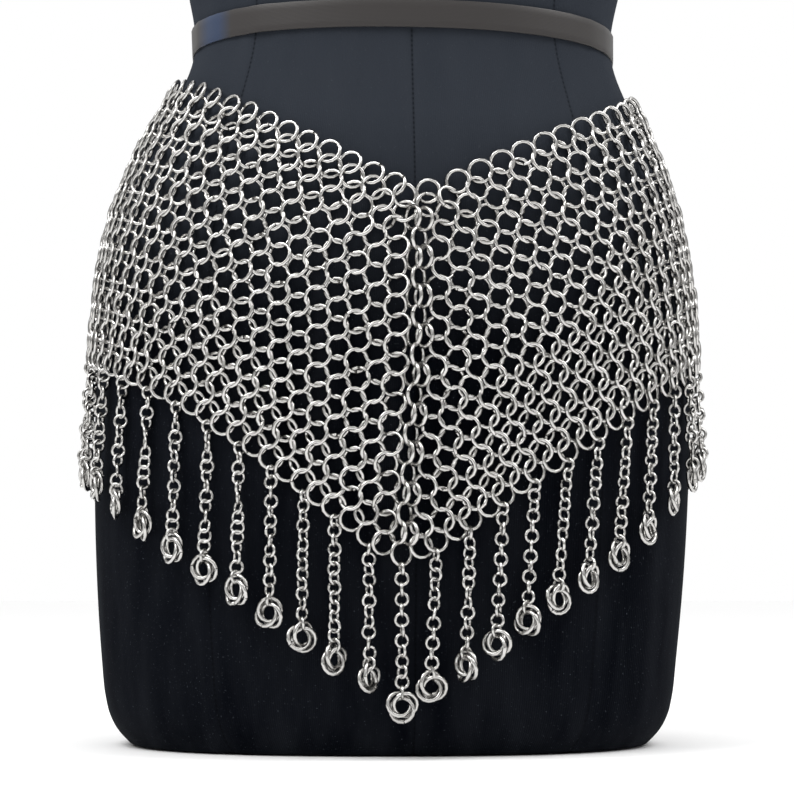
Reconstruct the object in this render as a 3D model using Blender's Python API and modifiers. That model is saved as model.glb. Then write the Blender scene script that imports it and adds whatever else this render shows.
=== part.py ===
"""A chainmail hip skirt on a limbless dress form. Blender 4.5, metres, +Z up, front towards -Y.

The skirt is two strips of mail that meet in a V at the centre front and at the centre back. Chains hang from
its lower edge, each with a knot of rings at its end. Left and right are as seen from the front.
"""

import math
import bmesh
import bpy
import numpy as np
from mathutils import Matrix, Vector

# The dress form: one level section a row. Depths are from the side seam line, and sway is the section's
# sideways shift from the hips' centre.
FORM_SECTIONS = (
    # height, half width, front depth, back depth, sway
    (0.000, 0.1490, 0.0960, 0.1020, -0.0020),
    (0.008, 0.1572, 0.1010, 0.1070, -0.0020),
    (0.020, 0.1630, 0.1050, 0.1110, -0.0020),
    (0.045, 0.1666, 0.1080, 0.1150, -0.0020),
    (0.090, 0.1708, 0.1110, 0.1210, -0.0013),
    (0.150, 0.1738, 0.1140, 0.1280, -0.0004),
    (0.200, 0.1745, 0.1150, 0.1310, 0.0004),
    (0.240, 0.1732, 0.1145, 0.1305, 0.0008),
    (0.280, 0.1690, 0.1125, 0.1255, 0.0010),
    (0.315, 0.1605, 0.1080, 0.1160, 0.0018),
    (0.345, 0.1490, 0.1025, 0.1060, 0.0030),
    (0.375, 0.1325, 0.0965, 0.0960, 0.0050),
    (0.402, 0.1213, 0.0925, 0.0880, 0.0060),
    (0.430, 0.1265, 0.0935, 0.0870, 0.0068),
    (0.480, 0.1365, 0.1010, 0.0900, 0.0070),
    (0.530, 0.1440, 0.1150, 0.0940, 0.0070),
    (0.575, 0.1490, 0.1240, 0.0970, 0.0070),
    (0.620, 0.1510, 0.1150, 0.0980, 0.0070),
    (0.665, 0.1560, 0.0950, 0.0970, 0.0070),
    (0.710, 0.1620, 0.0780, 0.0900, 0.0070),
    (0.745, 0.1600, 0.0660, 0.0790, 0.0070),
    (0.770, 0.1330, 0.0560, 0.0660, 0.0070),
    (0.788, 0.0920, 0.0500, 0.0570, 0.0070),
    (0.802, 0.0620, 0.0480, 0.0520, 0.0070),
    (0.820, 0.0540, 0.0480, 0.0490, 0.0070),
    (0.855, 0.0520, 0.0480, 0.0480, 0.0070),
)
SECTION_ROUNDNESS = 2.3
FORM_COLUMNS = 40
FORM_STEP = 0.019
FORM_FOOT_ROUNDING = (0.004, 0.008, 0.014, 0.020, 0.030)

TAPE_BOTTOM = 0.3985
TAPE_HEIGHT = 0.016
TAPE_THICKNESS = 0.0012
TAPE_LIFT = 0.0016
TAPE_SLOPE = -0.014

# The skirt: how high its top and bottom rows of rings run, and how far the chains reach below the bottom
# row. Way is the share of the way from the front seam to the back seam, and the back half mirrors the front.
SKIRT_EDGES = (
    # way, left top, left bottom, left reach, right top, right bottom, right reach
    (0.00, 0.3040, 0.1080, 0.0800, 0.3040, 0.1080, 0.0800),
    (0.04, 0.3099, 0.1155, 0.0752, 0.3101, 0.1117, 0.0762),
    (0.10, 0.3190, 0.1349, 0.0808, 0.3195, 0.1287, 0.0787),
    (0.20, 0.3350, 0.1666, 0.0836, 0.3370, 0.1592, 0.0797),
    (0.30, 0.3540, 0.1965, 0.0842, 0.3530, 0.1911, 0.0800),
    (0.40, 0.3700, 0.2160, 0.0722, 0.3675, 0.2140, 0.0632),
    (0.50, 0.3800, 0.2260, 0.0660, 0.3740, 0.2230, 0.0575),
)
SEAM_TURN_TOP = math.radians(9.3)
SEAM_TURN_BOTTOM = math.radians(2.5)
DRAPE_HEIGHT = 0.200
MAIL_CLEARANCE = 0.0012
MAIL_THICKNESS = 0.0052
RING_REACH = 0.0065
SEAM_HALF_TURN = math.radians(2.9)
GAP = 0.0003
MAIL_COLUMNS = 26
MAIL_ROWS = 9

CHAINS_PER_STRIP = 24
CHAIN_BUNCHING = {-1: 0.06, 1: 0.18}
BUNCHED_CHAINS = 11
KNOT_DRIFT = {-1: 0.0, 1: math.radians(2.4)}
DRIFTED_CHAINS = 13
FIRST_CHAIN_DRIFT = {-1: (math.radians(1.1), math.radians(0.9)), 1: (math.radians(0.8), math.radians(1.3))}
CHAIN_RADIUS = 0.0036
CHAIN_SIDES = 6
CHAIN_TOP_CLEARANCE = 0.0032
KNOT_RADIUS = 0.0066
KNOT_WIRE_RADIUS = 0.0023
KNOT_SEGMENTS = 8
KNOT_WIRE_SIDES = 5
KNOTS_TURNED = {-1: (1, 2, 3, 22), 1: (2, 3, 4, 21)}
KNOT_TURNED_BY = math.radians(62.0)

LEFT = -1
RIGHT = 1


def clear_scene():
    for obj in list(bpy.data.objects):
        bpy.data.objects.remove(obj, do_unlink=True)


def new_collection(name):
    collection = bpy.data.collections.new(name)
    bpy.context.scene.collection.children.link(collection)
    return collection


def material(name, colour, roughness, metallic):
    made = bpy.data.materials.new(name)
    made.use_nodes = True
    shader = made.node_tree.nodes["Principled BSDF"]
    shader.inputs["Base Color"].default_value = (*colour, 1.0)
    shader.inputs["Roughness"].default_value = roughness
    shader.inputs["Metallic"].default_value = metallic
    return made


def smooth_between(table, at, column):
    """The value of one column at a place between the rows, on a curve that is smooth through them all."""
    places = np.array([row[0] for row in table])
    values = np.array([row[column] for row in table])
    slopes = np.gradient(values, places)
    at = min(max(at, places[0]), places[-1])
    row = min(max(int(np.searchsorted(places, at)) - 1, 0), len(places) - 2)
    width = places[row + 1] - places[row]
    t = (at - places[row]) / width
    from_value = (1 + 2 * t) * (1 - t) ** 2 * values[row] + t * (1 - t) ** 2 * width * slopes[row]
    to_value = t * t * (3 - 2 * t) * values[row + 1] + t * t * (t - 1) * width * slopes[row + 1]
    return float(from_value + to_value)


def form_point(turn, height, lift=0.0):
    """A point of the form's skin, moved out by lift. Turn is 0 at the front and grows towards +X."""
    half_width = smooth_between(FORM_SECTIONS, height, 1) + lift
    depth = smooth_between(FORM_SECTIONS, height, 2 if math.cos(turn) > 0 else 3) + lift
    sway = smooth_between(FORM_SECTIONS, height, 4)
    across = abs(math.sin(turn)) / half_width
    along = abs(math.cos(turn)) / depth
    radius = (across**SECTION_ROUNDNESS + along**SECTION_ROUNDNESS) ** (-1 / SECTION_ROUNDNESS)
    return Vector((sway + radius * math.sin(turn), -radius * math.cos(turn), height))


def skirt_point(turn, height, lift):
    """A point at that lift off the form. Below the fullest level of the hips the mail hangs straight down."""
    point = form_point(turn, max(height, DRAPE_HEIGHT), lift)
    point.z = height
    return point


def edge_value(side, way, column):
    """A column of SKIRT_EDGES for that side: 1 top, 2 bottom, 3 reach."""
    return smooth_between(SKIRT_EDGES, min(way, 1 - way), column + (3 if side == RIGHT else 0))


def seam_turn(drop):
    return SEAM_TURN_TOP + (SEAM_TURN_BOTTOM - SEAM_TURN_TOP) * drop


def wall_height(side, way, drop):
    """Drop is 0 at the wall's upper edge and 1 at its lower one, each a ring's reach past the centres."""
    top = edge_value(side, way, 1) + RING_REACH
    return top + (edge_value(side, way, 2) - RING_REACH - top) * drop


def smooth_shade(obj, angle=40.0):
    obj.data.shade_smooth()
    obj.data.set_sharp_from_angle(angle=math.radians(angle))


def object_from(name, mesh, collection, finish):
    obj = bpy.data.objects.new(name, mesh)
    obj.data.materials.append(finish)
    collection.objects.link(obj)
    return obj


def loft(name, rings, collection, finish, closed_ends=True):
    """One closed skin through level rings of points, the lowest first."""
    body = bmesh.new()
    rows = [[body.verts.new(point) for point in ring] for ring in rings]
    for lower, upper in zip(rows, rows[1:]):
        for i in range(len(lower)):
            j = (i + 1) % len(lower)
            body.faces.new((lower[i], lower[j], upper[j], upper[i]))
    if closed_ends:
        body.faces.new(rows[0])
        body.faces.new(rows[-1])
    bmesh.ops.recalc_face_normals(body, faces=body.faces)
    mesh = bpy.data.meshes.new(name)
    body.to_mesh(mesh)
    body.free()
    obj = object_from(name, mesh, collection, finish)
    smooth_shade(obj)
    return obj


def build_form(collection, finish):
    """The covered torso, closed at the neck and standing on its flat underside."""
    top = FORM_SECTIONS[-1][0]
    above_foot = FORM_FOOT_ROUNDING[-1]
    steps = round((top - above_foot) / FORM_STEP)
    heights = [0.0, *FORM_FOOT_ROUNDING]
    heights += [above_foot + (top - above_foot) * i / steps for i in range(1, steps + 1)]
    turns = [math.tau * i / FORM_COLUMNS for i in range(FORM_COLUMNS)]
    rings = [[form_point(turn, height) for turn in turns] for height in heights]
    return loft("dress_form", rings, collection, finish)


def build_tape(collection, finish):
    """The waist tape: a flat band whose upper and lower edges follow the form, a little higher on the left."""
    turns = [math.tau * i / FORM_COLUMNS for i in range(FORM_COLUMNS)]

    def ring(height, lift):
        points = [form_point(turn, height, lift) for turn in turns]
        return [form_point(turn, height + TAPE_SLOPE * p.x, lift) for turn, p in zip(turns, points)]

    inner = TAPE_LIFT
    outer = inner + TAPE_THICKNESS
    middle = TAPE_BOTTOM + TAPE_HEIGHT / 2
    top = TAPE_BOTTOM + TAPE_HEIGHT
    rings = [ring(TAPE_BOTTOM, outer), ring(middle, outer), ring(top, outer)]
    rings += [ring(top, inner), ring(middle, inner), ring(TAPE_BOTTOM, inner)]
    return loft("waist_tape", rings + rings[:1], collection, finish, closed_ends=False)


def wall(name, columns, rows, place, collection, finish):
    """A wall of mail: a grid whose points are placed by place(across, down), thickened outwards."""
    body = bmesh.new()
    bmesh.ops.create_grid(body, x_segments=columns, y_segments=rows, size=0.5)
    for vertex in body.verts:
        vertex.co = place(vertex.co.x + 0.5, 0.5 - vertex.co.y)
    bmesh.ops.recalc_face_normals(body, faces=body.faces)
    face = max(body.faces, key=lambda f: abs(f.normal.xy.dot(f.calc_center_median().xy)))
    if face.normal.xy.dot(face.calc_center_median().xy) < 0:
        bmesh.ops.reverse_faces(body, faces=body.faces)
    mesh = bpy.data.meshes.new(name)
    body.to_mesh(mesh)
    body.free()
    obj = object_from(name, mesh, collection, finish)
    thicken = obj.modifiers.new("Thickness", "SOLIDIFY")
    thicken.thickness = MAIL_THICKNESS
    thicken.offset = 1.0
    thicken.use_even_offset = True
    smooth_shade(obj)
    return obj


def build_strip(side, name, collection, finish):
    """One strip of mail, from beside the front seam round to beside the back seam."""
    inset = SEAM_HALF_TURN + GAP / min(FORM_SECTIONS[6][2:4])

    def place(across, down):
        turned = inset + (math.pi - 2 * inset) * across
        height = wall_height(side, turned / math.pi, down)
        return skirt_point(seam_turn(down) + side * turned, height, MAIL_CLEARANCE)

    return wall(name, MAIL_COLUMNS, MAIL_ROWS, place, collection, finish)


def build_seam(way, name, collection, finish):
    """The column of joining rings between the two strips, at the front (way 0) or the back (way 1)."""

    def place(across, down):
        aside = SEAM_HALF_TURN * (2 * across - 1)
        side = RIGHT if aside > 0 else LEFT
        height = wall_height(side, abs(aside) / math.pi, down)
        return skirt_point(seam_turn(down) + math.pi * way + aside, height, MAIL_CLEARANCE)

    return wall(name, 2, MAIL_ROWS, place, collection, finish)


def build_chain(name, hook, at, facing, collection, finish):
    """A chain as the slim rod that holds its links, joined with a ring that holds the knot at its end."""
    rod_foot = at + Vector((0.0, 0.0, KNOT_RADIUS))
    line = hook - rod_foot
    body = bmesh.new()
    rod = bmesh.ops.create_cone(
        body,
        cap_ends=True,
        segments=CHAIN_SIDES,
        radius1=CHAIN_RADIUS,
        radius2=CHAIN_RADIUS,
        depth=line.length,
    )
    hung = Matrix.Translation((hook + rod_foot) / 2) @ line.to_track_quat("Z", "Y").to_matrix().to_4x4()
    bmesh.ops.transform(body, verts=rod["verts"], matrix=hung)
    mesh = bpy.data.meshes.new(name)
    body.to_mesh(mesh)
    body.free()
    chain = object_from(name, mesh, collection, finish)

    bpy.ops.mesh.primitive_torus_add(
        major_segments=KNOT_SEGMENTS,
        minor_segments=KNOT_WIRE_SIDES,
        major_radius=KNOT_RADIUS,
        minor_radius=KNOT_WIRE_RADIUS,
        location=(0.0, 0.0, 0.0),
    )
    knot = bpy.context.object
    stand_up = Matrix.Rotation(facing, 4, "Z") @ Matrix.Rotation(math.pi / 2, 4, "Y")
    knot.data.transform(Matrix.Translation(at) @ stand_up)
    union = chain.modifiers.new("Knot", "BOOLEAN")
    union.operation = "UNION"
    union.object = knot
    bpy.context.view_layer.update()
    joined = bpy.data.meshes.new_from_object(chain.evaluated_get(bpy.context.evaluated_depsgraph_get()))
    chain.modifiers.clear()
    chain.data = joined
    bpy.data.objects.remove(knot, do_unlink=True)
    smooth_shade(chain)
    return chain


def chain_at(side, number, way, name, collection, finish):
    """A chain from the lower edge of the mail, with its knot a little nearer to the seam where it drifts.

    The chain next to the front seam hangs nearer to it, at its hook and at its knot.
    """
    lift = MAIL_CLEARANCE + MAIL_THICKNESS / 2 + KNOT_WIRE_RADIUS / 2
    turn = seam_turn(1.0) + side * math.pi * way
    bottom = edge_value(side, way, 2)
    knot_height = bottom - edge_value(side, way, 3)
    hook_drift, first_knot_drift = FIRST_CHAIN_DRIFT[side] if number == 1 else (0.0, 0.0)
    hook = skirt_point(turn - side * hook_drift, min(bottom, DRAPE_HEIGHT), lift)
    hook.z = bottom - RING_REACH - CHAIN_TOP_CLEARANCE
    from_seam = min(number, (CHAINS_PER_STRIP + 1 - number) % (CHAINS_PER_STRIP + 1))
    drift = KNOT_DRIFT[side] * max(math.sin(math.pi * from_seam / DRIFTED_CHAINS), 0.0) ** 0.8
    drift += first_knot_drift
    knot_turn = turn - side * drift * (1 if way < 0.5 else -1)
    at = skirt_point(knot_turn, knot_height, lift)
    outward = (skirt_point(knot_turn, knot_height, lift + 0.001) - at).normalized()
    facing = math.atan2(outward.y, outward.x)
    if number in KNOTS_TURNED[side]:
        facing += KNOT_TURNED_BY
    return build_chain(name, hook, at, facing, collection, finish)


def chain_place(side, number):
    """How many even steps from the front seam a chain hangs. A strip's chains can bunch towards its seams."""
    from_seam = min(number, CHAINS_PER_STRIP + 1 - number)
    bunched = math.sin(math.pi * min(from_seam / BUNCHED_CHAINS, 0.999)) ** 0.8
    place = from_seam - CHAIN_BUNCHING[side] * bunched
    return place if number == from_seam else CHAINS_PER_STRIP + 1 - place


def ways_of_chains(side):
    """How far along a strip's lower edge each chain hangs: its share of the way round."""
    ways = [i / 200 for i in range(201)]
    points = [
        skirt_point(seam_turn(1.0) + side * math.pi * way, edge_value(side, way, 2), MAIL_CLEARANCE)
        for way in ways
    ]
    lengths = [0.0]
    for before, after in zip(points, points[1:]):
        lengths.append(lengths[-1] + (after - before).length)
    step = lengths[-1] / (CHAINS_PER_STRIP + 1)
    targets = [step * chain_place(side, number) for number in range(1, CHAINS_PER_STRIP + 1)]
    return np.interp(targets, lengths, ways)


def centre_on_origin(objects):
    """Moves the whole object so that its box stands centred on the origin."""
    bpy.context.view_layer.update()
    graph = bpy.context.evaluated_depsgraph_get()
    corners = np.array([corner for obj in objects for corner in obj.evaluated_get(graph).bound_box])
    middle = (corners.min(axis=0) + corners.max(axis=0)) / 2
    for obj in objects:
        obj.data.transform(Matrix.Translation((-middle[0], -middle[1], 0.0)))


def build():
    clear_scene()
    collection = new_collection("Chainmail skirt on a dress form")
    mail = material("aluminium rings", (0.62, 0.61, 0.58), 0.32, 1.0)
    jersey = material("black jersey", (0.020, 0.024, 0.032), 0.92, 0.0)
    satin = material("taupe satin", (0.075, 0.068, 0.066), 0.45, 0.0)

    pieces = [build_form(collection, jersey), build_tape(collection, satin)]
    pieces.append(build_strip(LEFT, "mail_left", collection, mail))
    pieces.append(build_strip(RIGHT, "mail_right", collection, mail))
    pieces.append(build_seam(0, "seam_front", collection, mail))
    pieces.append(build_seam(1, "seam_back", collection, mail))
    pieces.append(chain_at(RIGHT, 0, 0.0, "chain_front", collection, mail))
    pieces.append(chain_at(RIGHT, 0, 1.0, "chain_back", collection, mail))
    for side, word in ((LEFT, "left"), (RIGHT, "right")):
        for number, way in enumerate(ways_of_chains(side), start=1):
            name = f"chain_{word}_{number:02d}"
            pieces.append(chain_at(side, number, way, name, collection, mail))
    centre_on_origin(pieces)


build()
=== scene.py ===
import math

import bmesh
import bpy
import numpy as np
from mathutils import Matrix, Vector
from mathutils.bvhtree import BVHTree


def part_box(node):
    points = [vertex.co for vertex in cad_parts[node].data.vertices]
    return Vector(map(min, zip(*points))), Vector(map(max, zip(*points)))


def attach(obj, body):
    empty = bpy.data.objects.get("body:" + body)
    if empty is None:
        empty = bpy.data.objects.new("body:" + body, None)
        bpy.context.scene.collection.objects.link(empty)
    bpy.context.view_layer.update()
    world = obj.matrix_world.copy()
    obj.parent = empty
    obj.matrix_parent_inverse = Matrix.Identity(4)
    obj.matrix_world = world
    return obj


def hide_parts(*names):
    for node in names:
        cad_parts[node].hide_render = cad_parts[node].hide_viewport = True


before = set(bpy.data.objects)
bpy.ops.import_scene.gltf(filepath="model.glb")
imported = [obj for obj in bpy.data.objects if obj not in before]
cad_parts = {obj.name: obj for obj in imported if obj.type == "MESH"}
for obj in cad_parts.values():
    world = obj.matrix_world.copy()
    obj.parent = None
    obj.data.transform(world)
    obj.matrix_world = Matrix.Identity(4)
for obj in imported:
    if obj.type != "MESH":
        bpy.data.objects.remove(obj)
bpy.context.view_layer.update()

# The dress form: a hollow torso without limbs under a tight cover of black jersey. The cover is
# sewn from eight panels, whose seams run from the foot to the neck. The form stands on its flat
# foot.

JERSEY_SIDES = 48
JERSEY_ROWS = 45
JERSEY_BLANK_RADIUS = 0.25
JERSEY_DRAWN_IN = 0.0010
FOOT_EDGE_HEIGHTS = (0.003, 0.008, 0.014, 0.021, 0.031)
FRONT_TO_AXIS = 0.1236
UNCUT_RISE = 0.1
LEVEL_RISE = 0.0005
FRONT_SEAM_TURN = math.radians(6.5)
SEAM_SIDES = (0, 6, 11, 17, 23, 29, 35, 41)
SEAM_TURN_PLAY = 0.002
SEAM_WIDTH = 0.0018
SEAM_DEPTH = 0.0012
SEAM_LINE = 0.0006
SEAM_LINE_STRENGTH = 1.3
RIM_PLAY = 0.0015
RIM_CREASE = 0.85
FOOT_CAP_INSET = 0.03
NECK_CAP_INSET = 0.012
CAP_REACH = 0.002
SEAM_STITCH_AND_SHADE_BLACK = (0.0008, 0.0010, 0.0016, 1.0)
JERSEY_BLACK = (0.0010, 0.0015, 0.0031, 1.0)
# Painted light: the jersey is painted lighter higher up, for the light from above, and kept black
# lower down, which also paints the mail's shade on the jersey behind it.
JERSEY_PAINTED_TOP_LIGHT = (0.0236, 0.0277, 0.0355, 1.0)
JERSEY_SPECK = (0.0400, 0.0450, 0.0540, 1.0)
COOL_SHEEN = (0.55, 0.66, 0.85, 1.0)
PAINTED_LIGHT_FROM = 0.22
PAINTED_LIGHT_FULL_AT = 0.35
CLOUD_SCALE = 55.0
CLOUD_STRENGTH = 0.15
WALE_STRETCH = (1.0, 1.0, 0.16)
LINT_SCALE = 900.0
STITCH_SCALE = 112.0
STITCH_STRENGTH = 0.5
BETWEEN_STITCHES = 0.25
KNIT_SCALE = 210.0
KNIT_STRETCH = (1.0, 0.02, 1.0)

form_low, form_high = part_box("dress_form")
axis = Vector((0.0, form_low.y + FRONT_TO_AXIS, 0.0))


def start_piece(name):
    """Names the primitive that was just added, and puts its place into its mesh."""
    piece = bpy.context.object
    piece.name = name
    piece.data.name = name
    bpy.ops.object.transform_apply(location=True, rotation=True, scale=True)
    return piece


def choose(piece, kind, wanted):
    """In edit mode, selects the VERT, EDGE or FACE parts whose corners all pass the test."""
    bpy.ops.mesh.select_mode(type=kind)
    bpy.ops.mesh.select_all(action="DESELECT")
    shape = bmesh.from_edit_mesh(piece.data)
    parts = {"VERT": shape.verts, "EDGE": shape.edges, "FACE": shape.faces}[kind]
    for part in parts:
        corners = [part.co] if kind == "VERT" else [corner.co for corner in part.verts]
        part.select_set(wanted(corners))
    bmesh.update_edit_mesh(piece.data)


def rise_of(ends):
    return abs(ends[0].z - ends[1].z)


def apply_all(piece):
    bpy.context.view_layer.objects.active = piece
    for modifier in list(piece.modifiers):
        bpy.ops.object.modifier_apply(modifier=modifier.name)


def wrap_onto(piece, node_name):
    """Draws the piece in along its normals until it lies on that part of the frame."""
    wrap = piece.modifiers.new("Wrap", "SHRINKWRAP")
    wrap.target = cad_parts[node_name]
    wrap.wrap_method = "PROJECT"
    wrap.use_positive_direction = False
    wrap.use_negative_direction = True
    apply_all(piece)


def smooth(piece, levels):
    rounder = piece.modifiers.new("Round", "SUBSURF")
    rounder.levels = levels
    rounder.render_levels = levels
    apply_all(piece)


def turn_of(point):
    """How far round the form a point is: 0 at the front, growing towards +X."""
    return math.atan2(point.x - axis.x, axis.y - point.y)


def outward(turn):
    return Vector((math.sin(turn), -math.cos(turn), 0.0))


bpy.ops.object.select_all(action="DESELECT")
bpy.ops.mesh.primitive_cylinder_add(
    vertices=JERSEY_SIDES,
    radius=JERSEY_BLANK_RADIUS,
    depth=form_high.z - form_low.z - JERSEY_DRAWN_IN,
    end_fill_type="NOTHING",
    location=(axis.x, axis.y, (form_low.z + form_high.z) / 2),
    rotation=(0.0, 0.0, FRONT_SEAM_TURN),
)
jersey = start_piece("jersey_cover")
bpy.ops.object.mode_set(mode="EDIT")
choose(jersey, "EDGE", lambda ends: rise_of(ends) > UNCUT_RISE)
bpy.ops.mesh.subdivide(number_cuts=JERSEY_ROWS - 1)
for height in FOOT_EDGE_HEIGHTS:
    bpy.ops.mesh.select_all(action="SELECT")
    bpy.ops.mesh.bisect(plane_co=(0.0, 0.0, height), plane_no=(0.0, 0.0, 1.0))
bpy.ops.object.mode_set(mode="OBJECT")
wrap_onto(jersey, "dress_form")

seam_turns = [FRONT_SEAM_TURN + math.tau * side / JERSEY_SIDES for side in SEAM_SIDES]


def on_a_seam(corners):
    def off_seam(corner):
        return min(abs(math.remainder(turn_of(corner) - turn, math.tau)) for turn in seam_turns)

    return all(off_seam(corner) < SEAM_TURN_PLAY for corner in corners)


def on_the_rim(rim):
    return lambda corners: all(abs(corner.z - rim) < RIM_PLAY for corner in corners)


bpy.ops.object.mode_set(mode="EDIT")
choose(jersey, "EDGE", lambda ends: on_a_seam(ends) and rise_of(ends) > LEVEL_RISE)
bpy.ops.mesh.bevel(offset=SEAM_WIDTH / 2, offset_type="OFFSET", segments=2, affect="EDGES")
choose(jersey, "VERT", on_a_seam)
bpy.ops.transform.shrink_fatten(value=-SEAM_DEPTH)
for rim, inset in ((form_low.z, FOOT_CAP_INSET), (form_high.z, NECK_CAP_INSET)):
    choose(jersey, "EDGE", on_the_rim(rim))
    bpy.ops.transform.edge_crease(value=RIM_CREASE)
    bpy.ops.mesh.edge_face_add()
    choose(jersey, "FACE", on_the_rim(rim))
    bpy.ops.mesh.inset(thickness=inset, use_even_offset=False)
    bpy.ops.mesh.inset(thickness=inset, use_even_offset=False)
bpy.ops.mesh.select_all(action="SELECT")
bpy.ops.mesh.normals_make_consistent(inside=False)
bpy.ops.object.mode_set(mode="OBJECT")
smooth(jersey, levels=2)
bpy.ops.object.shade_smooth()

# Each corner keeps how near it is to a seam's middle, which draws the dark line in the seam: dashed
# dark stitches, and painted shade along the seam's groove.
corners = np.array([corner.co for corner in jersey.data.vertices])
corner_turns = np.arctan2(corners[:, 0] - axis.x, axis.y - corners[:, 1])
turns_apart = (corner_turns[:, None] - np.array(seam_turns) + math.pi) % math.tau - math.pi
apart = np.abs(turns_apart).min(axis=1)
apart *= np.hypot(corners[:, 0] - axis.x, corners[:, 1] - axis.y)
on_foot_cap = corners[:, 2] < form_low.z + CAP_REACH
on_neck_cap = corners[:, 2] > form_high.z - CAP_REACH
apart[on_foot_cap | on_neck_cap] = SEAM_WIDTH
line_strength = np.clip(SEAM_LINE_STRENGTH - apart / SEAM_LINE, 0.0, 1.0)
seam_line = jersey.data.attributes.new("seam_line", "FLOAT", "POINT")
seam_line.data.foreach_set("value", line_strength.astype(np.float32))


def new_finish(name):
    """A material with its nodes and its shader, and the ways to add a node and to mix colours."""
    finish = bpy.data.materials.new(name)
    finish.use_nodes = True
    tree = finish.node_tree
    shader = tree.nodes["Principled BSDF"]

    def node(kind, wires=None, **settings):
        made = tree.nodes.new(kind)
        for setting, value in settings.items():
            setattr(made, setting, value)
        for socket, value in (wires or {}).items():
            if isinstance(value, bpy.types.NodeSocket):
                tree.links.new(value, made.inputs[socket])
            else:
                made.inputs[socket].default_value = value
        return made

    def mixed(share, colour, other):
        mix = node("ShaderNodeMix", {0: share, 6: colour, 7: other}, data_type="RGBA")
        return mix.outputs[2]

    return finish, tree, shader, node, mixed


jersey_finish, tree, shader, node, mixed = new_finish("black_jersey")
shader.inputs["Roughness"].default_value = 0.88
shader.inputs["Specular IOR Level"].default_value = 0.03
shader.inputs["Sheen Weight"].default_value = 0.008
shader.inputs["Sheen Roughness"].default_value = 0.45
shader.inputs["Sheen Tint"].default_value = COOL_SHEEN
place = node("ShaderNodeTexCoord")
wales = node("ShaderNodeMapping", {"Scale": WALE_STRETCH, "Vector": place.outputs["Object"]})
cloudy = node(
    "ShaderNodeTexNoise", {"Scale": CLOUD_SCALE, "Detail": 4.0, "Vector": wales.outputs["Vector"]}
)
lint = node(
    "ShaderNodeTexNoise", {"Scale": LINT_SCALE, "Detail": 2.0, "Vector": place.outputs["Object"]}
)
lint_spots = node(
    "ShaderNodeMapRange", {"From Min": 0.66, "From Max": 0.78, "Value": lint.outputs["Fac"]}
)
spread = node(
    "ShaderNodeMapRange", {"From Min": 0.3, "From Max": 0.7, "Value": cloudy.outputs["Fac"]}
)
depth = node(
    "ShaderNodeMath", {0: spread.outputs["Result"], 1: CLOUD_STRENGTH}, operation="MULTIPLY"
)
shade = node(
    "ShaderNodeMath",
    {0: depth.outputs["Value"], 1: lint_spots.outputs["Result"]},
    operation="MAXIMUM",
)
# Painted light: the dye grows lighter with height, a painted top light, with painted shade lower
# down and behind the mail.
height = node("ShaderNodeSeparateXYZ", {0: place.outputs["Object"]})
painted_top_light = node(
    "ShaderNodeMapRange",
    {"From Min": PAINTED_LIGHT_FROM, "From Max": PAINTED_LIGHT_FULL_AT, "Value": height.outputs["Z"]},
)
jersey_with_painted_light = mixed(painted_top_light.outputs["Result"], JERSEY_BLACK, JERSEY_PAINTED_TOP_LIGHT)
dye_and_painted_light = mixed(shade.outputs["Value"], jersey_with_painted_light, JERSEY_SPECK)
sewn = node("ShaderNodeAttribute", attribute_name="seam_line")
stitches = node(
    "ShaderNodeTexWave",
    {"Scale": STITCH_SCALE, "Vector": place.outputs["Object"]},
    bands_direction="Z",
)
stitched = node(
    "ShaderNodeMath",
    {0: stitches.outputs["Fac"], 1: STITCH_STRENGTH, 2: BETWEEN_STITCHES},
    operation="MULTIPLY_ADD",
)
# Painted shade: the seam line darkens the jersey along each seam's groove, and the stitches dash
# it.
seam_stitches_and_shade = node(
    "ShaderNodeMath",
    {0: sewn.outputs["Fac"], 1: stitched.outputs["Value"]},
    operation="MULTIPLY",
)
cloth = mixed(seam_stitches_and_shade.outputs["Value"], dye_and_painted_light, SEAM_STITCH_AND_SHADE_BLACK)
tree.links.new(cloth, shader.inputs["Base Color"])
knit_map = node("ShaderNodeMapping", {"Vector": place.outputs["UV"], "Scale": KNIT_STRETCH})
knit = node(
    "ShaderNodeTexWave",
    {"Scale": KNIT_SCALE, "Distortion": 0.4, "Vector": knit_map.outputs["Vector"]},
    bands_direction="X",
)
knit_bump = node(
    "ShaderNodeBump", {"Strength": 0.25, "Distance": 0.0002, "Height": knit.outputs["Fac"]}
)
cloth_bump = node(
    "ShaderNodeBump",
    {
        "Strength": 0.3,
        "Distance": 0.0004,
        "Height": lint.outputs["Fac"],
        "Normal": knit_bump.outputs["Normal"],
    },
)
tree.links.new(cloth_bump.outputs["Normal"], shader.inputs["Normal"])
jersey.data.materials.clear()
jersey.data.materials.append(jersey_finish)
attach(jersey, "root")
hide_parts("dress_form")

# The waist tape: a taupe satin ribbon pulled tight round the waist, lapped and sewn at the left
# front. Near its left end a short blue reflection is painted into the satin's colour.

TAPE_SIDES = 96
TAPE_BLANK_RADIUS = 0.19
TAPE_WIDTH = 0.0156
TAPE_THICKNESS = 0.0011
TAPE_EDGE = 0.0003
TAPE_TILT = 0.014
TAPE_MIDDLE = 0.4065
TAPE_CUTS = 3
TAPE_UPRIGHT_RISE = 0.01
LAP_TURNS = (math.radians(-46.0), math.radians(-38.0))
LAP_STEP = 0.0007
SATIN_TAUPE = (0.030, 0.027, 0.026, 1.0)
# Painted reflection: a blue reflection painted into the satin's colour near its left end, between
# these X ranges.
SATIN_PAINTED_REFLECTION = (0.021, 0.036, 0.075, 1.0)
PAINTED_REFLECTION_RIGHT = (-0.0915, -0.0990)
PAINTED_REFLECTION_LEFT = (-0.1130, -0.1055)
WARP_SCALE = 420.0

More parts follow.
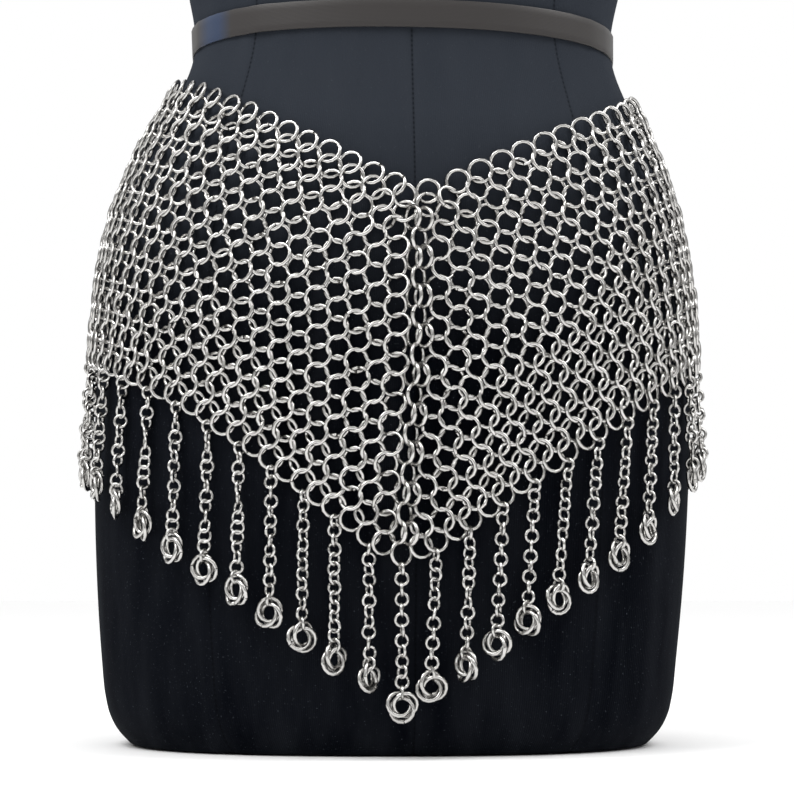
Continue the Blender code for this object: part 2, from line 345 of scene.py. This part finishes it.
bpy.ops.object.select_all(action="DESELECT")
bpy.ops.mesh.primitive_cylinder_add(
    vertices=TAPE_SIDES,
    radius=TAPE_BLANK_RADIUS,
    depth=TAPE_WIDTH,
    end_fill_type="NOTHING",
    location=(axis.x, axis.y, TAPE_MIDDLE),
    rotation=(0.0, TAPE_TILT, 0.0),
)
tape = start_piece("waist_ribbon")
wrap_onto(tape, "waist_tape")
bpy.ops.object.mode_set(mode="EDIT")
choose(tape, "EDGE", lambda ends: rise_of(ends) > TAPE_UPRIGHT_RISE)
bpy.ops.mesh.subdivide(number_cuts=TAPE_CUTS)
choose(tape, "VERT", lambda at: LAP_TURNS[0] < turn_of(at[0]) < LAP_TURNS[1])
bpy.ops.transform.shrink_fatten(value=LAP_STEP)
bpy.ops.object.mode_set(mode="OBJECT")
wall = tape.modifiers.new("Wall", "SOLIDIFY")
wall.thickness = TAPE_THICKNESS
wall.offset = -1.0
edge = tape.modifiers.new("Edge", "BEVEL")
edge.width = TAPE_EDGE
edge.segments = 2
edge.limit_method = "ANGLE"
apply_all(tape)
bpy.ops.object.shade_smooth_by_angle(angle=math.radians(40.0))
bpy.context.view_layer.update()

satin_finish, tree, shader, node, mixed = new_finish("taupe_satin")
shader.inputs["Roughness"].default_value = 0.42
shader.inputs["Specular IOR Level"].default_value = 0.35
shader.inputs["Sheen Weight"].default_value = 0.08
shader.inputs["Sheen Roughness"].default_value = 0.35
place = node("ShaderNodeTexCoord")
across = node("ShaderNodeSeparateXYZ", {0: place.outputs["Object"]})
# Painted reflection: the blue mixed in by X near the tape's left end stands in for a reflection.
reflection_rising, reflection_falling = [
    node("ShaderNodeMapRange", {"From Min": none, "From Max": full, "Value": across.outputs["X"]})
    for none, full in (PAINTED_REFLECTION_RIGHT, PAINTED_REFLECTION_LEFT)
]
painted_reflection = node(
    "ShaderNodeMath",
    {0: reflection_rising.outputs["Result"], 1: reflection_falling.outputs["Result"]},
    operation="MINIMUM",
)
dye_and_painted_light = mixed(painted_reflection.outputs["Value"], SATIN_TAUPE, SATIN_PAINTED_REFLECTION)
tree.links.new(dye_and_painted_light, shader.inputs["Base Color"])
warp = node(
    "ShaderNodeTexWave",
    {"Scale": WARP_SCALE, "Distortion": 1.0, "Vector": place.outputs["Object"]},
    bands_direction="Z",
)
warp_bump = node(
    "ShaderNodeBump", {"Strength": 0.2, "Distance": 0.0001, "Height": warp.outputs["Fac"]}
)
tree.links.new(warp_bump.outputs["Normal"], shader.inputs["Normal"])
tape.data.materials.clear()
tape.data.materials.append(satin_finish)
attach(tape, "root")
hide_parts("waist_tape")

# The mail: butted rings of bright aluminium wire, each hooked through two above it and two below
# it. It is made as two strips, joined in a V at the centre front and the centre back, and hangs on
# the hips by its weight.

LEFT = -1
RIGHT = 1
RING_SEED = 7
RING_RADIUS = 0.0063
RING_WIRE = 0.0023
RING_STEPS = 14
WIRE_SIDES = 5
RING_GAP = 0.0004
RING_RISE = 0.0005
MAIL_ROWS = 20
TOP_ROW_STEPS = 31
RING_REACH = 0.0065
MAIL_LIFT = 0.0038
HANGS_FROM = 0.200
CAST_FROM = 0.4
CAST_REACH = 0.39
STEEPEST = 0.5
TABLE_TURNS = 361
TABLE_HEIGHTS = 61
TABLE_TOP = 0.41
TABLE_END = 1.001
ABOVE_MAIL = 0.44
BELOW_MAIL = 0.03
EDGE_STEP = 0.003
EDGE_HALVINGS = 7
EDGE_READINGS = 41
ROW_READINGS = 801
SEAM_END_PLAY = 0.001
SEAM_FIRST_DROPS = (0.010, 0.034)
SEAM_BLEND = 0.04
SEAM_DOWN = (0.0, 0.04, 0.085, 0.42, 1.0)
SEAM_ASIDE = (0.0, 0.0, 0.42, 0.43, 1.0)
SEAM_BEND = 0.1
PAIR_SPLIT = 0.0054
TOP_ROW_SLACK = {LEFT: 0.2, RIGHT: 0.05}
BUNCHING = {LEFT: 0.0024, RIGHT: 0.0072}
BUNCHED_SHARE = 0.44
BUNCHING_POWER = 0.8
LOOSEST_LINK = 0.0110
TIGHTEST_LINK = 0.0086
SETTLING_ROUNDS = 600
SETTLING_PUSH = 1.6
FREE_PULL = 0.006
TOP_ROW_PULL = 0.02
CHAIN_RING_PULL = 0.03
SEAM_PULL = 0.2
CHAINS_A_STRIP = 24
CHAIN_DROP = 0.0097
CHAIN_TOP_REACH = 0.001
CHAIN_FOOT_REACH = 0.012
RING_TILT = math.radians(16.5)
RING_TILT_PLAY_DEGREES = 2.5
BESIDE_SEAM_TILT = math.radians(7.0)
SHARED_RING_TILT = math.radians(56.0)
PAIRED_RING_TILT = math.radians(52.0)
SEAM_TILT_PLAY_DEGREES = 2.0
SEAM_FOOT_TILT = math.radians(33.0)
RING_CLEARANCE = 0.0004
RING_SHIFT = 0.00025
ALUMINIUM = (0.610, 0.600, 0.585, 1.0)
ALUMINIUM_DULL = (0.400, 0.390, 0.370, 1.0)
DRAWN_STRETCH = (3.0, 60.0, 1.0)
HANDLED_SCALE = 260.0
HANDLED_DULLS = 0.4
TONE_DULLS = 0.35

rng = np.random.default_rng(RING_SEED)


def wire_ring(name, radius, wire, steps, gap, rise):
    """One butted ring about Z, its ends at +X: a round of wire spun from end to end, as arrays."""
    bpy.ops.object.select_all(action="DESELECT")
    bpy.ops.mesh.primitive_circle_add(
        vertices=WIRE_SIDES,
        radius=wire / 2,
        fill_type="NGON",
        location=(radius, 0.0, 0.0),
        rotation=(math.pi / 2, 0.0, 0.0),
    )
    ring = start_piece(name)
    bpy.ops.object.mode_set(mode="EDIT")
    bpy.ops.mesh.select_all(action="SELECT")
    bpy.ops.mesh.spin(
        steps=steps, angle=math.tau - gap / radius, center=(0.0, 0.0, 0.0), axis=(0.0, 0.0, 1.0)
    )
    bpy.ops.mesh.select_all(action="SELECT")
    bpy.ops.mesh.normals_make_consistent(inside=False)
    bpy.ops.object.mode_set(mode="OBJECT")
    points = np.array([corner.co for corner in ring.data.vertices])
    faces = [tuple(face.vertices) for face in ring.data.polygons]
    along = np.arctan2(points[:, 1], points[:, 0]) % math.tau
    along[along > math.tau - gap / radius / 2] = 0.0
    along_share = along / math.tau
    across = np.hypot(points[:, 0], points[:, 1]) - radius
    around = np.arctan2(points[:, 2], across) / math.tau
    wrapped = []
    for face in faces:
        first = around[face[0]]
        for corner in face:
            near = around[corner] + round(first - around[corner])
            wrapped.append((along_share[corner], near))
    points[:, 2] += rise * (along_share - 0.5)
    bpy.data.objects.remove(ring, do_unlink=True)
    return points, faces, np.array(wrapped)


def join_copies(name, pattern, places, tones):
    """The pattern at each place, a turn and a middle, joined as one piece with a tone a copy."""
    points, faces, wire_map = pattern
    turns = np.array([turn for turn, middle in places])
    middles = np.array([middle for turn, middle in places])
    moved = np.einsum("nij,pj->npi", turns, points) + middles[:, None]
    count = len(points)
    all_faces = [
        [corner + copy * count for corner in face] for copy in range(len(places)) for face in faces
    ]
    shape = bpy.data.meshes.new(name)
    shape.from_pydata(moved.reshape(-1, 3), [], all_faces)
    layer = shape.uv_layers.new(name="wire")
    all_maps = np.tile(wire_map, (len(places), 1))
    layer.data.foreach_set("uv", all_maps.ravel().astype(np.float32))
    tone = shape.attributes.new("ring_tone", "FLOAT", "POINT")
    tone.data.foreach_set("value", np.repeat(tones, count).astype(np.float32))
    shape.update()
    piece = bpy.data.objects.new(name, shape)
    bpy.context.scene.collection.objects.link(piece)
    bpy.ops.object.select_all(action="DESELECT")
    piece.select_set(True)
    bpy.context.view_layer.objects.active = piece
    bpy.ops.object.shade_smooth_by_angle(angle=math.radians(80.0))
    return piece


def skin_tree(names):
    """The solids of those nodes as one tree to cast lines at."""
    points, faces = [], []
    for name in names:
        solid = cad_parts[name].data
        faces += [[corner + len(points) for corner in face.vertices] for face in solid.polygons]
        points += [corner.co.copy() for corner in solid.vertices]
    return BVHTree.FromPolygons(points, faces)


def cast_in(tree, turn, height, *reach):
    """What a level line meets first on its way in to the axis from well outside."""
    away = outward(turn)
    start = axis + away * CAST_FROM
    start.z = height
    return tree.ray_cast(start, -away, *reach)


# How far out the rings' middles lie on the form, read on a grid of turns and heights.
form_skin = BVHTree.FromObject(jersey, bpy.context.evaluated_depsgraph_get())
reach_table = np.empty((TABLE_TURNS, TABLE_HEIGHTS))
for turn_row, turn in enumerate(np.linspace(-math.pi, math.pi, TABLE_TURNS)):
    for height_column, height in enumerate(np.linspace(HANGS_FROM, TABLE_TOP, TABLE_HEIGHTS)):
        _, normal, _, far = cast_in(form_skin, turn, height)
        lift = MAIL_LIFT / max(normal.dot(outward(turn)), STEEPEST)
        reach_table[turn_row, height_column] = CAST_FROM - far + lift


def hung(turns, heights):
    """Ring middles there: on the form, and straight down below its fullest level."""
    turn_place = (turns + math.pi) % math.tau / math.tau * (TABLE_TURNS - 1)
    height_place = (heights - HANGS_FROM) / (TABLE_TOP - HANGS_FROM) * (TABLE_HEIGHTS - 1)
    height_place = np.clip(height_place, 0, TABLE_HEIGHTS - TABLE_END)
    turn_place = np.clip(turn_place, 0, TABLE_TURNS - TABLE_END)
    i, j = turn_place.astype(int), height_place.astype(int)
    a, b = turn_place - i, height_place - j
    reach = (
        reach_table[i, j] * (1 - a) * (1 - b)
        + reach_table[i + 1, j] * a * (1 - b)
        + reach_table[i, j + 1] * (1 - a) * b
        + reach_table[i + 1, j + 1] * a * b
    )
    return np.stack([axis.x + reach * np.sin(turns), axis.y - reach * np.cos(turns), heights], -1)


mail_walls = skin_tree(("mail_left", "mail_right", "seam_front", "seam_back"))


def wall_edge(turn, height, step):
    """Where the mail's wall starts at that turn, looked for from that height on."""

    def clear(at):
        return cast_in(mail_walls, turn, at, CAST_REACH)[0] is None

    while clear(height):
        height += step
    for _ in range(EDGE_HALVINGS):
        step /= 2
        height += step if clear(height) else -step
    return height


def mean_turn(points):
    return float(np.mean([turn_of(point) for point in points]))


seam_points = [corner.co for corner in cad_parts["seam_front"].data.vertices]
seam_points.sort(key=lambda at: at.z)
seam_foot = seam_points[0].z + SEAM_END_PLAY
seam_head = seam_points[-1].z - SEAM_END_PLAY
seam_turn_low = mean_turn(at for at in seam_points if at.z < seam_foot)
seam_turn_high = mean_turn(at for at in seam_points if at.z > seam_head)
ways = np.linspace(0.0, 1.0, EDGE_READINGS)
top_edges, low_edges = {}, {}
for side in (LEFT, RIGHT):
    top_turns = [seam_turn_high + side * math.pi * way for way in ways]
    low_turns = [seam_turn_low + side * math.pi * way for way in ways]
    top_edges[side] = [wall_edge(turn, ABOVE_MAIL, -EDGE_STEP) - RING_REACH for turn in top_turns]
    low_edges[side] = [wall_edge(turn, BELOW_MAIL, EDGE_STEP) + RING_REACH for turn in low_turns]


def row_share(side, row, way):
    """How far down the strip a row runs: its first step is short, and a seam has its own drops."""
    even = max(0.0, row - TOP_ROW_SLACK[side]) / (MAIL_ROWS - 1 - TOP_ROW_SLACK[side])
    first, second = SEAM_FIRST_DROPS
    at_seam = first if row == 0 else second + (row - 1) * (1 - second) / (MAIL_ROWS - 2)
    nearness = np.clip(1 - np.minimum(way, 1 - way) / SEAM_BLEND, 0, 1)
    return even * (1 - nearness) + at_seam * nearness


# Each ring starts on its row. A ring that both strips share is made once, with the left strip.
rings = {}
start_turns, start_heights = [], []
for side in (LEFT, RIGHT):
    for row in range(MAIL_ROWS):
        steps = TOP_ROW_STEPS + row
        way = np.linspace(0.0, 1.0, ROW_READINGS)
        share = row_share(side, row, way)
        near_seam = np.clip(1 - way / SEAM_BEND, 0, 1)
        aside = share + (np.interp(share, SEAM_DOWN, SEAM_ASIDE) - share) * near_seam
        row_turns = seam_turn_high + (seam_turn_low - seam_turn_high) * aside
        row_turns = row_turns + side * math.pi * way
        row_heights = np.interp(way, ways, top_edges[side]) * (1 - share)
        row_heights += np.interp(way, ways, low_edges[side]) * share
        line = hung(row_turns, row_heights)
        run = np.concatenate([[0.0], np.cumsum(np.linalg.norm(np.diff(line, axis=0), axis=1))])
        shared = row % 2 == 1 or row == 0
        ends = 0.0 if shared else PAIR_SPLIT / 2
        shares = np.linspace(0.0, 1.0, steps + 1)
        from_seam = np.minimum(shares, 1 - shares) / BUNCHED_SHARE
        bunched = np.sin(math.pi * np.minimum(from_seam, 1)).clip(0) ** BUNCHING_POWER
        bunched = BUNCHING[side] * row / (MAIL_ROWS - 1) * bunched
        shares += np.where(shares < 0.5, -bunched, bunched)
        at_ways = np.interp(ends + shares * (run[-1] - 2 * ends), run, way)
        for step in range(steps + 1):
            if side == RIGHT and shared and step in (0, steps):
                rings[RIGHT, row, step] = rings[LEFT, row, step]
                continue
            rings[side, row, step] = len(start_turns)
            start_turns.append(np.interp(at_ways[step], way, row_turns))
            start_heights.append(np.interp(at_ways[step], way, row_heights))
start_turns, start_heights = np.array(start_turns), np.array(start_heights)


def chain_ends(name):
    """The middles of a chain's upper end and of the knot at its foot."""
    corners = [corner.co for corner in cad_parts[name].data.vertices]
    low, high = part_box(name)
    top = [at for at in corners if at.z > high.z - CHAIN_TOP_REACH]
    foot = [at for at in corners if at.z < low.z + CHAIN_FOOT_REACH]
    return [sum(end, Vector()) / len(end) for end in (top, foot)]


# A pull keeps a ring near its start: weak in the open mail, stronger at its edges and its seams.
pull = np.full(len(start_turns), FREE_PULL)
for (side, row, step), ring in rings.items():
    if row == 0:
        pull[ring] = TOP_ROW_PULL
    if step in (0, TOP_ROW_STEPS + row):
        pull[ring] = SEAM_PULL
chain_rings = {}
low_steps = TOP_ROW_STEPS + MAIL_ROWS - 1
for side, side_name in ((LEFT, "left"), (RIGHT, "right")):
    for number in range(1, CHAINS_A_STRIP + 1):
        step = round(number * low_steps / (CHAINS_A_STRIP + 1))
        ring = rings[side, MAIL_ROWS - 1, step]
        name = f"chain_{side_name}_{number:02d}"
        chain_rings[name] = ring
        top, foot = chain_ends(name)
        start_turns[ring] = turn_of(top)
        start_heights[ring] = top.z + CHAIN_DROP
        pull[ring] = CHAIN_RING_PULL
chain_rings["chain_front"] = rings[LEFT, MAIL_ROWS - 1, 0]
chain_rings["chain_back"] = rings[LEFT, MAIL_ROWS - 1, low_steps]

# The rings settle: hooked rings come neither nearer nor further apart than their wire allows.
links = set()
for (side, row, step), ring in rings.items():
    if row < MAIL_ROWS - 1:
        links.add((ring, rings[side, row + 1, step]))
        links.add((ring, rings[side, row + 1, step + 1]))
links = np.array(sorted(links))
pairs = np.array(
    [
        (rings[LEFT, row, step], rings[RIGHT, row, step])
        for row in range(2, MAIL_ROWS, 2)
        for step in (0, TOP_ROW_STEPS + row)
    ]
)
ties = np.vstack([links, pairs])
shortest = np.r_[np.full(len(links), TIGHTEST_LINK), np.full(len(pairs), PAIR_SPLIT)]
longest = np.r_[np.full(len(links), LOOSEST_LINK), np.full(len(pairs), PAIR_SPLIT)]
ties_held = np.bincount(ties.ravel(), minlength=len(start_turns)).astype(float)
start_middles = hung(start_turns, start_heights)
middles = start_middles.copy()
for _ in range(SETTLING_ROUNDS):
    reach = middles[ties[:, 1]] - middles[ties[:, 0]]
    length = np.linalg.norm(reach, axis=1)
    give = reach * ((length - np.clip(length, shortest, longest)) / length / 2)[:, None]
    moved = np.zeros_like(middles)
    np.add.at(moved, ties[:, 0], give)
    np.add.at(moved, ties[:, 1], -give)
    drawn_back = (start_middles - middles) * pull[:, None]
    middles += moved / ties_held[:, None] * SETTLING_PUSH + drawn_back
    middles = hung(np.arctan2(middles[:, 0] - axis.x, axis.y - middles[:, 1]), middles[:, 2])

# Each row is read round the form in the direction of growing turn, so that its rings all lean
# one way. A ring keeps its row, the way along that row, and the ways down its links.
leans = {}
for row in range(MAIL_ROWS):
    steps = TOP_ROW_STEPS + row
    loop = [rings[RIGHT, row, step] for step in range(steps + 1)]
    loop += [rings[LEFT, row, step] for step in range(steps, -1, -1)]
    loop = list(dict.fromkeys(loop))
    for at, ring in enumerate(loop):
        along = middles[loop[(at + 1) % len(loop)]] - middles[loop[at - 1]]
        leans[ring] = (row, Vector(along).normalized(), [])
for upper, lower in links:
    down = Vector(middles[lower] - middles[upper]).normalized()
    leans[upper][2].append(down)
    leans[lower][2].append(down)
seam_steps = {}
for (side, row, step), ring in rings.items():
    nearest = min(step, TOP_ROW_STEPS + row - step)
    seam_steps[ring] = min(nearest, seam_steps.get(ring, nearest))


def facing(ring):
    """Which way a ring faces: out of the mail, leaned over one neighbour and under the other."""
    row, along, downs = leans[ring]
    down = sum(downs, Vector()).normalized()
    if seam_steps[ring] == 0:
        down = Vector((0.0, 0.0, -1.0))
    out = down.cross(along).normalized()
    if out.dot(outward(turn_of(Vector(middles[ring])))) < 0:
        out = -out
    along = out.cross(down).normalized()
    tilt = RING_TILT + math.radians(rng.normal(0.0, RING_TILT_PLAY_DEGREES))
    if seam_steps[ring] == 0 and row == MAIL_ROWS - 1:
        tilt = SEAM_FOOT_TILT
    elif seam_steps[ring] == 0 and row > 1:
        tilt = SHARED_RING_TILT if row % 2 else PAIRED_RING_TILT
        tilt += math.radians(rng.normal(0.0, SEAM_TILT_PLAY_DEGREES))
    elif seam_steps[ring] == 1:
        tilt += BESIDE_SEAM_TILT
    lean = -1.0 if row % 2 == 0 else 1.0
    return (out * math.cos(tilt) + along * lean * math.sin(tilt)).normalized(), out, tilt


def turned(normal, spin):
    """The turn that lays a ring's own Z along the normal, with its ends turned about it."""
    across = normal.orthogonal().normalized()
    along = normal.cross(across)
    first = across * math.cos(spin) + along * math.sin(spin)
    second = normal.cross(first)
    return np.array([first, second, normal]).T


def place_ring(ring):
    """A ring's turn and middle, moved out where its lean would take it into the form."""
    normal, out, tilt = facing(ring)
    stands_out = RING_RADIUS * math.sin(tilt) + RING_WIRE / 2 + RING_CLEARANCE
    middle = Vector(middles[ring]) + out * max(0.0, stands_out - MAIL_LIFT)
    middle += Vector(rng.normal(0.0, RING_SHIFT, 3))
    return turned(normal, rng.uniform(0.0, math.tau)), np.array(middle)


mail_ring = wire_ring("mail_ring", RING_RADIUS, RING_WIRE, RING_STEPS, RING_GAP, RING_RISE)
placed = {ring: place_ring(ring) for ring in range(len(middles))}
tones = rng.uniform(0.0, 1.0, len(middles))

aluminium, tree, shader, node, mixed = new_finish("bright_aluminium")
shader.inputs["Metallic"].default_value = 1.0
tone = node("ShaderNodeAttribute", attribute_name="ring_tone")
place = node("ShaderNodeTexCoord")
drawn_map = node("ShaderNodeMapping", {"Vector": place.outputs["UV"], "Scale": DRAWN_STRETCH})
drawn = node(
    "ShaderNodeTexNoise", {"Scale": 1.0, "Detail": 3.0, "Vector": drawn_map.outputs["Vector"]}
)
handled = node(
    "ShaderNodeTexNoise", {"Scale": HANDLED_SCALE, "Detail": 3.0, "Vector": place.outputs["Object"]}
)
dulling = node("ShaderNodeMath", {0: tone.outputs["Fac"], 1: TONE_DULLS}, operation="MULTIPLY")
dulled = node(
    "ShaderNodeMath",
    {0: handled.outputs["Fac"], 1: HANDLED_DULLS, 2: dulling.outputs["Value"]},
    operation="MULTIPLY_ADD",
)
colour = mixed(dulled.outputs["Value"], ALUMINIUM, ALUMINIUM_DULL)
tree.links.new(colour, shader.inputs["Base Color"])
rough = node(
    "ShaderNodeMapRange", {"To Min": 0.17, "To Max": 0.33, "Value": dulled.outputs["Value"]}
)
tree.links.new(rough.outputs["Result"], shader.inputs["Roughness"])
drawn_bump = node(
    "ShaderNodeBump", {"Strength": 0.35, "Distance": 6e-05, "Height": drawn.outputs["Fac"]}
)
tree.links.new(drawn_bump.outputs["Normal"], shader.inputs["Normal"])


def finish_mail(piece, node_name):
    """Gives a piece of mail or a chain its metal, puts it under the root body, and hides that
    node's own solid.
    """
    piece.data.materials.clear()
    piece.data.materials.append(aluminium)
    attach(piece, "root")
    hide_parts(node_name)
    return piece


def mail_piece(name, chosen, node_name):
    piece = join_copies(name, mail_ring, [placed[ring] for ring in chosen], tones[chosen])
    return finish_mail(piece, node_name)


def strip_rings(side):
    """The rings of one strip, without those at the seams."""
    return sorted(
        ring
        for (its_side, row, step), ring in rings.items()
        if its_side == side and 0 < step < TOP_ROW_STEPS + row
    )


strips = {
    LEFT: mail_piece("left_strip", strip_rings(LEFT), "mail_left"),
    RIGHT: mail_piece("right_strip", strip_rings(RIGHT), "mail_right"),
}

# The seams: where the strips meet, one ring in every second row goes through both, and the rows
# between have a ring from each strip, which the rings above and below hold close together on edge.

front_rings, back_rings = set(), set()
for (side, row, step), ring in rings.items():
    if step == 0:
        front_rings.add(ring)
    elif step == TOP_ROW_STEPS + row:
        back_rings.add(ring)
front_seam = mail_piece("front_seam", sorted(front_rings), "seam_front")
back_seam = mail_piece("back_seam", sorted(back_rings), "seam_back")

# The chains: fifty lengths of light aluminium chain, each hooked on a ring of the bottom row. The
# last link of each holds three mail rings of heavier wire, hooked through one another in a knot.

LINK_RADIUS = 0.0034
LINK_WIRE = 0.0019
LINK_STEPS = 12
LINK_GAP = 0.0003
LINK_RISE = 0.0004
LINK_PITCH = 0.00526
FIRST_LINK_DROP = 0.0080
LAST_LINK_DROP = 0.0073
FIRST_LINK_PLAY_DEGREES = 8.0
LINK_SWING = math.radians(34.0)
LINK_PLAY = math.radians(8.0)
LINK_SHIFT = 0.00012
LINK_NOD = 0.07
ROPE_TWIST = math.radians(-42.0)
ROPE_TWISTED_AFTER = 4
KNOT_WIRE = 0.0024
KNOT_HEIGHT = 0.0089
KNOT_LEAN = math.radians(17.0)
KNOT_SPREAD = 0.0019
KNOT_PLAY_DEGREES = 6.0
KNOTS_TURNED = {LEFT: (1, 2, 3, 22), RIGHT: (2, 3, 4, 21)}
KNOT_TURNED_BY = math.radians(62.0)
UP = Vector((0.0, 0.0, 1.0))

chain_link = wire_ring("chain_link", LINK_RADIUS, LINK_WIRE, LINK_STEPS, LINK_GAP, LINK_RISE)
knot_ring = wire_ring("knot_ring", RING_RADIUS, KNOT_WIRE, RING_STEPS, RING_GAP, RING_RISE)


def chain_links(first, last, straight_out, twist, knot_angle):
    """The links' turns and middles, each link near to right angles with the one over it."""
    count = round((first.z - last.z) / LINK_PITCH) + 1
    first_angle = math.pi / 2 + math.radians(rng.normal(0.0, FIRST_LINK_PLAY_DEGREES))
    wanted = twist * (count - 1)
    whole = knot_angle - math.pi / 2 - first_angle - math.pi / 2 * (count - 1)
    spare = math.remainder(whole - wanted, math.pi)
    a_link = (wanted + spare) / (count - 1) + math.pi / 2
    swing = rng.normal(0.0, LINK_SWING)
    places = []
    for number in range(count):
        share = number / (count - 1)
        shift = Vector((rng.normal(0, LINK_SHIFT), rng.normal(0, LINK_SHIFT), 0.0))
        middle = first.lerp(last, share) + shift
        angle = first_angle + a_link * number + swing * math.sin(math.tau * share)
        angle += rng.normal(0.0, LINK_PLAY)
        normal = Matrix.Rotation(angle, 3, "Z") @ straight_out
        normal = (normal + Vector((0.0, 0.0, rng.normal(0.0, LINK_NOD)))).normalized()
        places.append((turned(normal, rng.uniform(0.0, math.tau)), np.array(middle)))
    return places


def knot_rings(knot_middle, face):
    """The turns and middles of a knot's three rings, each leaned and slid its own way."""
    aside = UP.cross(face).normalized()
    places = []
    first_way = rng.uniform(0.0, math.tau)
    for third in range(3):
        lean_way = first_way + math.tau * third / 3
        slide_way = lean_way + math.pi / 2
        leaned = aside * math.cos(lean_way) + UP * math.sin(lean_way)
        slid = aside * math.cos(slide_way) + UP * math.sin(slide_way)
        normal = (face * math.cos(KNOT_LEAN) + leaned * math.sin(KNOT_LEAN)).normalized()
        middle = knot_middle + slid * KNOT_SPREAD
        places.append((turned(normal, rng.uniform(0.0, math.tau)), np.array(middle)))
    return places


def hang_chain(name, twist, turned_by):
    """A chain from its ring of the bottom row down to its knot, as one piece."""
    top, foot = chain_ends(name)
    hook = Vector(placed[chain_rings[name]][1])
    straight_out = outward(turn_of((top + foot) / 2))
    knot_middle = Vector((foot.x, foot.y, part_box(name)[0].z + KNOT_HEIGHT))
    first = hook - UP * FIRST_LINK_DROP
    last = knot_middle + UP * LAST_LINK_DROP
    knot_angle = turned_by + math.radians(rng.normal(0.0, KNOT_PLAY_DEGREES))
    places = chain_links(first, last, straight_out, twist, knot_angle)
    link_tones = rng.uniform(0.0, 1.0, len(places))
    links_part = join_copies(name + "_links", chain_link, places, link_tones)
    places = knot_rings(knot_middle, Matrix.Rotation(knot_angle, 3, "Z") @ straight_out)
    knot_part = join_copies(name + "_knot", knot_ring, places, rng.uniform(0.0, 1.0, 3))
    bpy.ops.object.select_all(action="DESELECT")
    links_part.select_set(True)
    knot_part.select_set(True)
    bpy.context.view_layer.objects.active = links_part
    bpy.ops.object.join()
    piece = bpy.context.object
    piece.name = "hung_" + name
    return finish_mail(piece, name)


hung_chains = {LEFT: [], RIGHT: []}
for side, side_name in ((LEFT, "left"), (RIGHT, "right")):
    for number in range(1, CHAINS_A_STRIP + 1):
        turned_by = -side * KNOT_TURNED_BY if number in KNOTS_TURNED[side] else 0.0
        twist = ROPE_TWIST if side == LEFT and number > ROPE_TWISTED_AFTER else 0.0
        name = f"chain_{side_name}_{number:02d}"
        hung_chains[side].append(hang_chain(name, twist, turned_by))
front_chain = hang_chain("chain_front", 0.0, 0.0)
back_chain = hang_chain("chain_back", 0.0, 0.0)

# Each strip of mail was flat before it was hung.

# The floor, the lights and the camera: a plain pale floor under a pale sky that brightens upwards,
# a large soft box at each side above the form, and a long lens at the height of the chains.

FLOOR_SIZE = 14.0
FLOOR_DROP = 0.0004
FLOOR_PALE = (0.92, 0.92, 0.92, 1.0)
SKY_WHITE = (1.0, 1.0, 1.0, 1.0)
SKY_SEEN = 1.0
SKY_LOW = 0.25
SKY_HIGH = 1.5
LIT_MIDDLE = Vector((0.0, 0.0, 0.25))
LENS = 100.65
SENSOR = 36.0
CAMERA_ASIDE = 0.0024
CAMERA_AWAY = 1.30
CAMERA_HEIGHT = 0.097
CAMERA_PITCH = math.radians(4.58418)

bpy.ops.object.select_all(action="DESELECT")
bpy.ops.mesh.primitive_plane_add(size=FLOOR_SIZE, location=(0.0, 0.0, -FLOOR_DROP))
floor = start_piece("studio_floor")
floor_finish, _, shader, _, _ = new_finish("pale_floor")
shader.inputs["Roughness"].default_value = 0.75
shader.inputs["Base Color"].default_value = FLOOR_PALE
floor.data.materials.append(floor_finish)

sky = bpy.data.worlds.new("studio_sky")
sky.use_nodes = True
tree = sky.node_tree
white = tree.nodes["Background"]
white.inputs["Color"].default_value = SKY_WHITE
white.inputs["Strength"].default_value = SKY_SEEN
tent = tree.nodes.new("ShaderNodeBackground")
tent.inputs["Color"].default_value = SKY_WHITE
way = tree.nodes.new("ShaderNodeTexCoord")
ways_apart = tree.nodes.new("ShaderNodeSeparateXYZ")
tree.links.new(way.outputs["Generated"], ways_apart.inputs["Vector"])
brighter_above = tree.nodes.new("ShaderNodeMapRange")
brighter_above.inputs["To Min"].default_value = SKY_LOW
brighter_above.inputs["To Max"].default_value = SKY_HIGH
tree.links.new(ways_apart.outputs["Z"], brighter_above.inputs["Value"])
tree.links.new(brighter_above.outputs["Result"], tent.inputs["Strength"])
seen = tree.nodes.new("ShaderNodeLightPath")
either = tree.nodes.new("ShaderNodeMixShader")
tree.links.new(seen.outputs["Is Camera Ray"], either.inputs["Fac"])
tree.links.new(tent.outputs["Background"], either.inputs[1])
tree.links.new(white.outputs["Background"], either.inputs[2])
tree.links.new(either.outputs["Shader"], tree.nodes["World Output"].inputs["Surface"])
bpy.context.scene.world = sky


def soft_box(name, place, size, power):
    lamp = bpy.data.lights.new(name, "AREA")
    lamp.size = size
    lamp.energy = power
    box = bpy.data.objects.new(name, lamp)
    box.location = place
    box.rotation_euler = (LIT_MIDDLE - Vector(place)).to_track_quat("-Z", "Y").to_euler()
    bpy.context.scene.collection.objects.link(box)


soft_box("left_box", place=(-1.0, -0.7, 1.7), size=1.0, power=21.0)
soft_box("right_box", place=(1.2, -0.2, 1.6), size=0.9, power=14.0)

bpy.context.scene.view_settings.view_transform = "Standard"

eye = bpy.data.cameras.new("camera")
eye.lens = LENS
eye.sensor_width = SENSOR
camera = bpy.data.objects.new("camera", eye)
camera.location = (CAMERA_ASIDE, axis.y - CAMERA_AWAY, CAMERA_HEIGHT)
camera.rotation_euler = (math.pi / 2 + CAMERA_PITCH, 0.0, 0.0)
bpy.context.scene.collection.objects.link(camera)
bpy.context.scene.camera = camera
